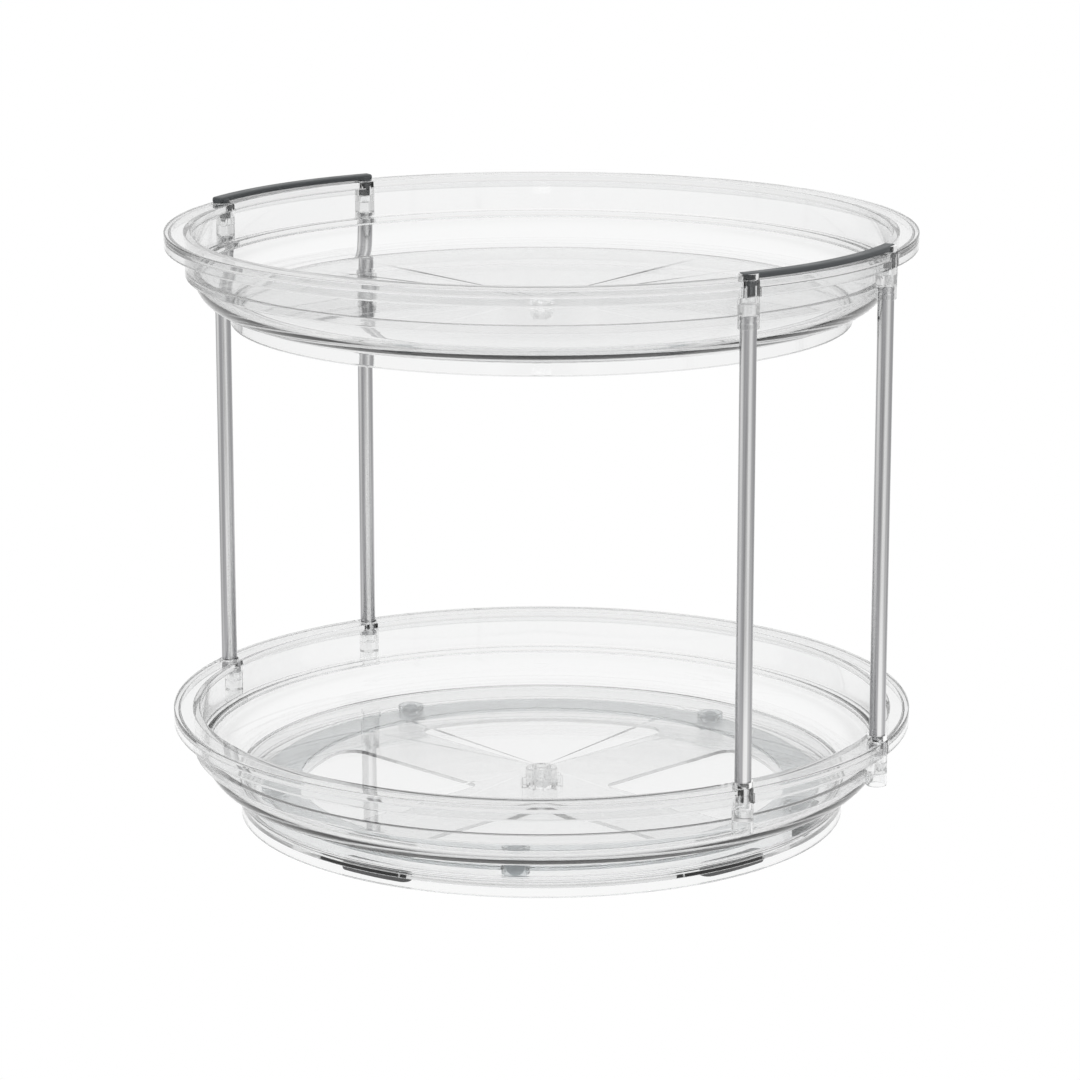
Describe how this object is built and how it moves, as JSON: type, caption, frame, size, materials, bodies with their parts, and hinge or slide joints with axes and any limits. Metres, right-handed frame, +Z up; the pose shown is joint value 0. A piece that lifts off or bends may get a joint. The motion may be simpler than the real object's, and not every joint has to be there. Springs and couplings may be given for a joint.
{
  "type": "two-tier turntable",
  "caption": "Two-tier lazy susan: round clear trays with stepped walls on steel rods, arc grips on the top brim, spinning on a ball bearing over a clear base.",
  "frame": {"origin": "on the spin axis, in the plane of the base rim and its feet", "axes": "+Z up along the spin axis; the two grips are centred on +X and -X"},
  "size_m": [0.28, 0.28, 0.2267],
  "materials": {
    "clear_plastic": "clear, polished injection moulding",
    "polished_steel": "drawn stainless rod, fine lengthwise grain",
    "grip_plastic": "dark grey, satin soft-touch",
    "cage_plastic": "translucent blue-grey",
    "ball_plastic": "smooth grey",
    "foot_rubber": "matt black"
  },
  "bodies": {
    "base": {"base_disc_plate": "clear_plastic", "foot_1": "foot_rubber", "foot_2": "foot_rubber", "foot_3": "foot_rubber"},
    "turntable": {"lower_tray": "clear_plastic", "upper_tray": "clear_plastic", "rod_left_front": "polished_steel", "rod_left_rear": "polished_steel", "rod_right_front": "polished_steel", "rod_right_rear": "polished_steel", "grip_left": "grip_plastic", "grip_right": "grip_plastic"},
    "cage": {"bearing_cage": "cage_plastic"},
    "ball_1": {"bearing_ball_1": "ball_plastic"},
    "ball_2": {"bearing_ball_2": "ball_plastic"},
    "ball_3": {"bearing_ball_3": "ball_plastic"},
    "ball_4": {"bearing_ball_4": "ball_plastic"},
    "ball_5": {"bearing_ball_5": "ball_plastic"}
  },
  "joints": [
    {"name": "tray_spin", "type": "hinge", "parent": "base", "child": "turntable", "pos_m": [0, 0, 0.0126], "axis": [0, 0, 1], "continuous": true},
    {"name": "cage_spin", "type": "hinge", "parent": "base", "child": "cage", "pos_m": [0, 0, 0.0087], "axis": [0, 0, 1], "continuous": true},
    {"name": "ball_1_roll", "type": "hinge", "parent": "cage", "child": "ball_1", "pos_m": [-0.0009, 0.1032, 0.0088], "axis": [-0.0087, 1, 0], "continuous": true},
    {"name": "ball_2_roll", "type": "hinge", "parent": "cage", "child": "ball_2", "pos_m": [-0.09842, 0.03103, 0.0088], "axis": [-0.9537, 0.3007, 0], "continuous": true},
    {"name": "ball_3_roll", "type": "hinge", "parent": "cage", "child": "ball_3", "pos_m": [-0.05993, -0.08402, 0.0088], "axis": [-0.5807, -0.8141, 0], "continuous": true},
    {"name": "ball_4_roll", "type": "hinge", "parent": "cage", "child": "ball_4", "pos_m": [0.06139, -0.08296, 0.0088], "axis": [0.5948, -0.8039, 0], "continuous": true},
    {"name": "ball_5_roll", "type": "hinge", "parent": "cage", "child": "ball_5", "pos_m": [0.09787, 0.03275, 0.0088], "axis": [0.9483, 0.3173, 0], "continuous": true}
  ],
  "couplings": [
    {"joint": "cage_spin", "follows": "tray_spin", "ratio": 0.5},
    {"joint": "ball_1_roll", "follows": "tray_spin", "ratio": -14.743},
    {"joint": "ball_2_roll", "follows": "tray_spin", "ratio": -14.743},
    {"joint": "ball_3_roll", "follows": "tray_spin", "ratio": -14.743},
    {"joint": "ball_4_roll", "follows": "tray_spin", "ratio": -14.743},
    {"joint": "ball_5_roll", "follows": "tray_spin", "ratio": -14.743}
  ]
}
